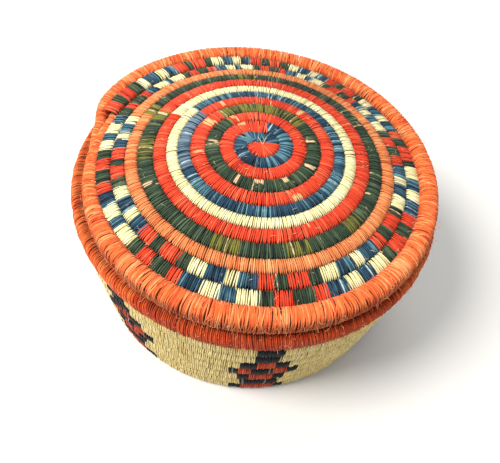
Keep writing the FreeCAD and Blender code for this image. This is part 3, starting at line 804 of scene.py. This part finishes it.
def block_drift(even_turn):
    return BLOCK_DRIFT_TURNS * (1 - math.cos(math.radians(lid_azimuth(even_turn) - BLOCK_DRIFT_AZIMUTH)))


def block_borders(row_start, blocks):
    """Where the blocks of one row end, in turns of the lid's coil."""
    for number in range(blocks + 1):
        inside = 0 < number < blocks
        uneven = BLOCK_UNEVENNESS * math.sin(2.4 * number + row_start) * inside
        even_turn = row_start + (number + uneven) / blocks
        yield even_turn + block_drift(even_turn) - block_drift(row_start)


for row_number, (row, row_start, colours) in enumerate(CHECKER_ROWS):
    blocks = CHECKER_GROUPS * len(colours)
    borders = list(block_borders(row_start, blocks))
    for number, name in enumerate(sorted(CHECKER_WOOLS)):
        stretches = [(borders[block], borders[block + 1])
                     for block in range(blocks) if colours[block % len(colours)] == name]
        row_path = path_mesh("%s %s path" % (row, name), lid_point, stretches, lid_measures)
        lid_wools.append(wind("%s_wool_%s" % (row, name), row_path, CHECKER_WOOLS[name], "lid",
                              "%s_%s" % (row, name), "wool_" + name, seed=51 + 10 * row_number + number,
                              squareness=LID_SQUARENESS, slant_spread=0.06, slant_drift=0.3, yarn_spread=0.2))


# The lid's edge: a thick roll of orange wool, wound over twice, with long uneven stitches that
# lean this way and that. It is thin where the edge's grass thins out.


def edge_measures(turn):
    left = edge_left(turn)
    measures = lid_measures(turn)
    measures["half_width"] = (measures["half_width"] - SEAM_REACH) * left + SEAM_REACH
    measures["half_height"] *= math.sqrt(left)
    return measures


edge_wool = wool("edge wool", colour(238, 112, 56), colour(250, 168, 108), colour(212, 68, 34), drift=1.0,
                 light_share=0.4, dark_share=0.3)
edge_path = path_mesh("edge path", edge_point, [(EDGE_START, EDGE_LAST_TURN)], edge_measures)
edge_roll = wind("edge_wool", edge_path, edge_wool, "lid", "lid_edge_wrap", "wool_orange", seed=71, loop_points=18,
     stitch_pitch=0.00104, yarn_radius=0.00056, slant_spread=0.06, slant_drift=0.5, size_spread=0.02,
     side_spread=0.0004, end_thickness=0.8, squareness=0.75)


OVER_LIFT = 0.00032


def over_measures(turn):
    measures = edge_measures(turn)
    measures["half_width"] += OVER_LIFT
    measures["half_height"] += OVER_LIFT
    return measures


over_path = path_mesh("over path", edge_point, [(EDGE_START, EDGE_LAST_TURN)], over_measures)
wind("edge_wool_over", over_path, edge_wool, "lid", "lid_edge_wrap", "wool_orange", seed=72, loop_points=18,
     yarn_sides=4, stitch_pitch=0.0011, yarn_radius=0.00032, slant_spread=0.3, slant_drift=0.5, size_spread=0.01,
     side_spread=0.0002, end_thickness=0.9, squareness=0.75)


# The knot in the middle of the lid. Its first stitches cross in one point: red ones fan out to the
# front, and long navy ones reach to the back, where the coil's own start is buried. Two ends of
# straw stand out of it.
RED_FAN_CENTRE = -0.0024
NAVY_FAN_CENTRE = 0.0018
KNOT_LAST_TURN = 0.62
STRAW_RADIUS = 0.00024
STRAWS = [(212, 0.0040), (146, 0.0046)]


def fan_reach(turn):
    """How far from the middle the fan's strands reach at a turn of the coil."""
    return seam_radius(turn) if turn >= 0 else start_reach(turn)


def fan_path(name, centre, start, end):
    """The path that a fan's strands are wound on: each reaches from near the middle outwards."""
    def point(turn):
        radius = (centre + fan_reach(turn)) / 2
        height = DOME_TOP - RING_HALF_HEIGHT - DOME_DROP * (radius / DOME_RADIUS) ** 2
        return on_circle(radius, lid_azimuth(turn), height) + LID_SHIFT

    def measures(turn):
        return {"half_width": (fan_reach(turn) - centre) / 2 + SEAM_REACH,
                "half_height": RING_HALF_HEIGHT - YARN_RADIUS, "outward": (0, 0, 1)}

    return path_mesh(name, point, [(start, end)], measures)


def thin_stalk(name, points, radius, material):
    """A bent stalk or hair, as a tube along a few points, thinner at its tip."""
    curve = bpy.data.curves.new(name, "CURVE")
    curve.dimensions = "3D"
    curve.bevel_depth = radius
    curve.bevel_resolution = 1
    curve.use_fill_caps = True
    spline = curve.splines.new("NURBS")
    spline.points.add(len(points) - 1)
    for number, (target, place) in enumerate(zip(spline.points, points)):
        target.co = (*place, 1.0)
        target.radius = 1.0 - 0.4 * number / (len(points) - 1)
    spline.order_u = 3
    spline.use_endpoint_u = True
    draft = bpy.data.objects.new(name + "_draft", curve)
    mesh = bpy.data.meshes.new_from_object(draft)
    bpy.data.objects.remove(draft)
    mesh.materials.clear()
    mesh.materials.append(material)
    piece = bpy.data.objects.new(name, mesh)
    bpy.context.scene.collection.objects.link(piece)
    return piece


navy_fan_path = fan_path("navy fan path", NAVY_FAN_CENTRE, KNOT_LAST_TURN - 1, 0)
wind("knot_wool_navy", navy_fan_path, navy_wool, "lid", "lid_ring_navy_inner", "wool_navy", seed=83,
     stitch_pitch=0.00062, squareness=0.45, end_thickness=0.5)
knot_path = fan_path("knot path", RED_FAN_CENTRE, 0.02, KNOT_LAST_TURN)
wind("knot_wool", knot_path, red_wool, "lid", "lid_knot_red", "wool_red", seed=81, stitch_pitch=0.0004,
     squareness=0.5, end_thickness=0.6, side_spread=0.0009)
straw = wool("straw", colour(206, 196, 150), colour(226, 218, 180), colour(170, 156, 108))
straw_height = DOME_TOP + 0.0004
for number, (azimuth, reach) in enumerate(STRAWS):
    tip = on_circle(reach, azimuth, straw_height + 0.0012) + LID_SHIFT
    middle = on_circle(reach / 2, azimuth - 12, straw_height + 0.0008) + LID_SHIFT
    foot = on_circle(0.0012, 100, straw_height - 0.0008) + LID_SHIFT
    stalk = thin_stalk("straw_%d" % number, [foot, middle, tip], STRAW_RADIUS, straw)
    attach(stalk, "lid")


# The base's knot: the bound start of the basket's coil, in the middle of the base. It is wound in
# the same undyed wool as the wall, and pressed flat underneath like the turns round it.
BASE_KNOT_RADIUS = 0.0031


def base_knot_point(turn):
    return on_circle(BASE_KNOT_RADIUS, basket_azimuth(turn), base_height)


def base_knot_measures(turn):
    return {"half_width": BASE_KNOT_RADIUS + YARN_RADIUS, "half_height": base_height - BASE_YARN_HEIGHT,
            "outward": (0, 0, 1)}


base_knot_path = path_mesh("base knot path", base_knot_point, [(0, 1)], base_knot_measures)
wind("base_knot_wool", base_knot_path, undyed, "basket", "base_knot", "wall_cream", seed=82, stitch_pitch=0.0007)


# The ring under the lid keeps it centred inside the rim. It is one turn of grass, wrapped in orange
# wool as the edge is, and sewn to the lid's underside.
LEDGE_RADIUS = 0.0855
LEDGE_COIL_RADIUS = 0.0036
LEDGE_SEAT_CLEARANCE = 0.0003
LEDGE_GRASS_RADIUS = 0.0024


def ledge_room(turn):
    """How high the ring's middle may lie under the lid's coil at a turn of it."""
    radius = (seam_radius(turn) + seam_radius(turn + 1)) / 2
    reach = (seam_radius(turn + 1) - seam_radius(turn)) / 2 + LEDGE_SEAT_CLEARANCE + LEDGE_COIL_RADIUS
    return lid_point(turn).z - math.sqrt(max(reach ** 2 - (radius - LEDGE_RADIUS) ** 2, 0.0))


ledge_height = min(ledge_room(LID_START + (EDGE_END - LID_START) * number / 400) for number in range(401))


def ledge_point(turn):
    return on_circle(LEDGE_RADIUS, lid_azimuth(turn), ledge_height) + LID_SHIFT


def ledge_measures(turn):
    return {"half_width": LEDGE_COIL_RADIUS - YARN_RADIUS, "half_height": LEDGE_COIL_RADIUS - YARN_RADIUS,
            "outward": (0, 0, -1)}


ledge_path = path_mesh("ledge path", ledge_point, [(0, 0.998)], ledge_measures)
wind("ledge_wool", ledge_path, orange_wool, "lid", "ledge_wrap", "wool_orange", seed=91, loop_points=12)
lay_grass("ledge_grass", ledge_path, "lid", "ledge_foundation", bundle_radius=LEDGE_GRASS_RADIUS, stems=7)


# Loose fibres. Hand-spun wool is hairy: short fibres that weren't twisted in stand out of the
# strands all over, longest on the thick edge and the rim.
FIBRE_RADIUS = 0.00007


def fibre_tree():
    """Stands short bent hairs on a wool's outer faces, each turned and sized at random."""
    tree = new_tree("loose fibres", {
        "Fibres Per Area": ("NodeSocketFloat", 20000.0),
        "Fibre Length": ("NodeSocketFloat", 0.002),
        "Fibre Radius": ("NodeSocketFloat", FIBRE_RADIUS),
        "Lowest Rise": ("NodeSocketFloat", -1.0),
        "Seed": ("NodeSocketInt", 1),
        "Material": ("NodeSocketMaterial", None),
    })
    entry = tree.nodes.new("NodeGroupInput")
    seed = result(entry, "Seed")
    facing = result(add_node(tree, "GeometryNodeInputNormal"), "Normal")
    faces = add_node(tree, "ShaderNodeSeparateXYZ", Vector=facing)
    upper = add_node(tree, "FunctionNodeCompare", {"data_type": "FLOAT", "operation": "GREATER_THAN"},
                     A=result(faces, "Z"), B=result(entry, "Lowest Rise"))
    roots = add_node(tree, "GeometryNodeDistributePointsOnFaces", Mesh=result(entry, "Geometry"),
                     Selection=result(upper), Density=result(entry, "Fibres Per Area"), Seed=seed)
    spin = add_node(tree, "FunctionNodeRandomValue", {"data_type": "FLOAT"}, Min=-math.pi, Max=math.pi, Seed=seed)
    spun = add_node(tree, "FunctionNodeRotateRotation", {"rotation_space": "LOCAL"},
                    Rotation=result(roots, "Rotation"),
                    Rotate_By=result(add_node(tree, "FunctionNodeEulerToRotation",
                                              Euler=result(add_node(tree, "ShaderNodeCombineXYZ", Z=result(spin))))))
    hair = add_node(tree, "GeometryNodeCurveQuadraticBezier", Resolution=3, Start=(0, 0, 0), Middle=(0.15, 0, 0.5),
                    End=(0.75, 0, 0.55))
    size = add_node(tree, "FunctionNodeRandomValue", {"data_type": "FLOAT"},
                    Min=math_node(tree, "MULTIPLY", result(entry, "Fibre Length"), 0.35),
                    Max=result(entry, "Fibre Length"), Seed=math_node(tree, "ADD", seed, 1.0))
    hairs = add_node(tree, "GeometryNodeInstanceOnPoints", Points=result(roots, "Points"), Instance=result(hair),
                     Rotation=result(spun), Scale=result(size))
    real = add_node(tree, "GeometryNodeRealizeInstances", Geometry=result(hairs))
    steady = add_node(tree, "GeometryNodeSetCurveRadius", Curve=result(real), Radius=1.0)
    profile = add_node(tree, "GeometryNodeCurvePrimitiveCircle", Resolution=3, Radius=result(entry, "Fibre Radius"))
    tubes = add_node(tree, "GeometryNodeCurveToMesh", Curve=result(steady), Profile_Curve=result(profile))
    whole = add_node(tree, "GeometryNodeRealizeInstances", Geometry=result(tubes))
    painted = add_node(tree, "GeometryNodeSetMaterial", Geometry=result(whole), Material=result(entry, "Material"))
    leave = tree.nodes.new("NodeGroupOutput")
    tree.links.new(result(painted), leave.inputs["Geometry"])
    return tree


def fibre_material(name, light, dark):
    material = bpy.data.materials.new(name)
    material.use_nodes = True
    tree = material.node_tree
    shader = tree.nodes["Principled BSDF"]
    tones = add_node(tree, "ShaderNodeTexNoise", Vector=result(add_node(tree, "ShaderNodeTexCoord"), "Object"),
                     Scale=400.0, Detail=1.0)
    spread_tones = add_node(tree, "ShaderNodeMapRange", Value=result(tones, "Fac"), From_Min=0.35, From_Max=0.65)
    mix = add_node(tree, "ShaderNodeMix", {"data_type": "RGBA"}, Factor=result(spread_tones), A=dark, B=light)
    tree.links.new(result(mix), shader.inputs["Base Color"])
    shader.inputs["Roughness"].default_value = 0.7
    return material


def loose_fibres(name, wools, material, body, slot, seed, **values):
    """Gathers the fibres of several wools of one body into one piece."""
    settings = {key.replace("_", " ").title(): value for key, value in values.items()}
    gathered = bmesh.new()
    for number, wool_piece in enumerate(wools):
        settings.update({"Seed": seed + number, "Material": material})
        part = made_mesh("%s_%d" % (name, number), wool_piece.data, fibres, settings)
        gathered.from_mesh(part.data)
        bpy.data.objects.remove(part)
    mesh = bpy.data.meshes.new(name)
    gathered.to_mesh(mesh)
    gathered.free()
    mesh.materials.append(material)
    piece = bpy.data.objects.new(name, mesh)
    bpy.context.scene.collection.objects.link(piece)
    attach(piece, body)


fibres = fibre_tree()
orange_fibre = fibre_material("orange fibre", colour(250, 188, 132), colour(214, 96, 48))
pale_fibre = fibre_material("pale fibre", colour(246, 226, 190), colour(176, 120, 84))
loose_fibres("edge_fibres", [edge_roll], orange_fibre, "lid", "wool_orange", 101, fibres_per_area=32000.0,
             fibre_length=0.0046)
loose_fibres("rim_fibres", [rim_wool], orange_fibre, "basket", "wool_orange", 111, fibres_per_area=24000.0,
             fibre_length=0.0036)
loose_fibres("lid_fibres", lid_wools, pale_fibre, "lid", "wool_cream", 121, fibres_per_area=20000.0,
             fibre_length=0.0030, lowest_rise=0.3)
loose_fibres("wall_fibres", wall_wools[1:], pale_fibre, "basket", "wall_cream", 141, fibres_per_area=7000.0,
             fibre_length=0.0030)


# The floor is plain and pale, and the light is soft. The camera stands as the photographer did, with
# the same lens.
FLOOR_SIZE = 6.0
CAMERA_DISTANCE = 0.2733
CAMERA_ELEVATION = 44.43
CAMERA_ROLL = -8.55
PHOTO_SIZE = (500, 463)
LENS_PIXELS = 500.0
LID_MIDDLE_PIXEL = (260.7, 143.9)


def pale_floor():
    mesh = bpy.data.meshes.new("floor")
    half = FLOOR_SIZE / 2
    mesh.from_pydata([(-half, -half, 0), (half, -half, 0), (half, half, 0), (-half, half, 0)], [], [(0, 1, 2, 3)])
    floor = bpy.data.objects.new("floor", mesh)
    bpy.context.scene.collection.objects.link(floor)
    material = bpy.data.materials.new("pale floor")
    material.use_nodes = True
    shader = material.node_tree.nodes["Principled BSDF"]
    shader.inputs["Base Color"].default_value = colour(214, 212, 208)
    shader.inputs["Roughness"].default_value = 0.9
    mesh.materials.append(material)


def area_light(name, place, size, power, tint):
    data = bpy.data.lights.new(name, "AREA")
    data.shape = "DISK"
    data.size = size
    data.energy = power
    data.color = tint
    light = bpy.data.objects.new(name, data)
    bpy.context.scene.collection.objects.link(light)
    light.location = place
    light.rotation_euler = (Vector((0, 0, 0.06)) - Vector(place)).to_track_quat("-Z", "Y").to_euler()


def photo_camera():
    """Looks at the lid's middle from the photo's side, height and distance, turned as it was."""
    lid_middle = Vector((LID_SHIFT.x, LID_SHIFT.y, DOME_TOP))
    rise = math.radians(CAMERA_ELEVATION)
    level = Matrix(((1, 0, 0), (0, math.sin(rise), math.cos(rise)), (0, math.cos(rise), -math.sin(rise))))
    across = (LID_MIDDLE_PIXEL[0] - PHOTO_SIZE[0] / 2) / LENS_PIXELS
    up = (PHOTO_SIZE[1] / 2 - LID_MIDDLE_PIXEL[1]) / LENS_PIXELS
    aim = Vector((0, 0, 1)).rotation_difference(Vector((across, up, 1))).to_matrix()
    roll = Matrix.Rotation(math.radians(CAMERA_ROLL), 3, "Z")
    right, upward, forward = aim @ roll @ level
    data = bpy.data.cameras.new("photo camera")
    data.sensor_width = 36.0
    data.lens = 36.0 * LENS_PIXELS / PHOTO_SIZE[0]
    data.clip_start = 0.01
    camera = bpy.data.objects.new("photo camera", data)
    bpy.context.scene.collection.objects.link(camera)
    place = lid_middle + Vector((0, -math.cos(rise), math.sin(rise))) * CAMERA_DISTANCE
    turn = Matrix((right, upward, -forward)).transposed()
    camera.matrix_world = Matrix.Translation(place) @ turn.to_4x4()
    bpy.context.scene.camera = camera


pale_floor()
area_light("key light", (-0.8, -0.3, 1.15), 0.6, 30.0, (1.0, 0.98, 0.95))
area_light("fill light", (0.2, 0.9, 1.1), 1.2, 8.0, (0.95, 0.97, 1.0))
world = bpy.data.worlds.new("soft room")
world.use_nodes = True
world.node_tree.nodes["Background"].inputs["Color"].default_value = (0.95, 0.97, 1.0, 1.0)
world.node_tree.nodes["Background"].inputs["Strength"].default_value = 0.6
bpy.context.scene.world = world
bpy.context.scene.view_settings.view_transform = "Standard"
photo_camera()
